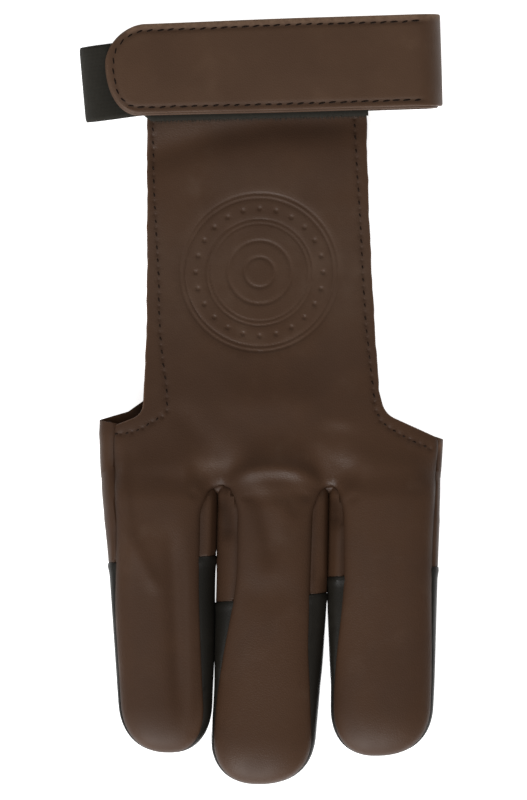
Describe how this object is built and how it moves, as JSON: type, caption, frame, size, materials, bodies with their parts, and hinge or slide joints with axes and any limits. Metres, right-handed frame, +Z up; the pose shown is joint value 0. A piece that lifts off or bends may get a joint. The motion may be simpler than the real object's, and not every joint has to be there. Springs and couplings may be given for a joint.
{
  "type": "archery glove",
  "caption": "Leather archery glove with closed finger stalls, an open palm, a strip over the back of the hand and a wrist strap with a hook-and-loop closure.",
  "frame": {"origin": "on the surface it lies on, under the middle of the whole glove", "axes": "+Z up out of the back of the hand, +Y from the fingertips to the wrist, +X towards the thumb side"},
  "size_m": [0.0998, 0.2116, 0.0144],
  "materials": {
    "brown_leather": "satin, fine grained",
    "strap_leather": "satin, fine grained, raw cut edges",
    "black_leather": "smooth satin",
    "black_band": "matte woven elastic",
    "black_hook": "matte hook tape"
  },
  "bodies": {
    "root": {"back_panel": "brown_leather", "palm_panel": "brown_leather", "tip_ring": "black_leather", "tip_middle": "black_leather", "tip_index": "black_leather", "elastic_band": "black_band", "hook_pad": "black_hook", "strap_face": "strap_leather", "strap_backing": "strap_leather"}
  },
  "joints": []
}
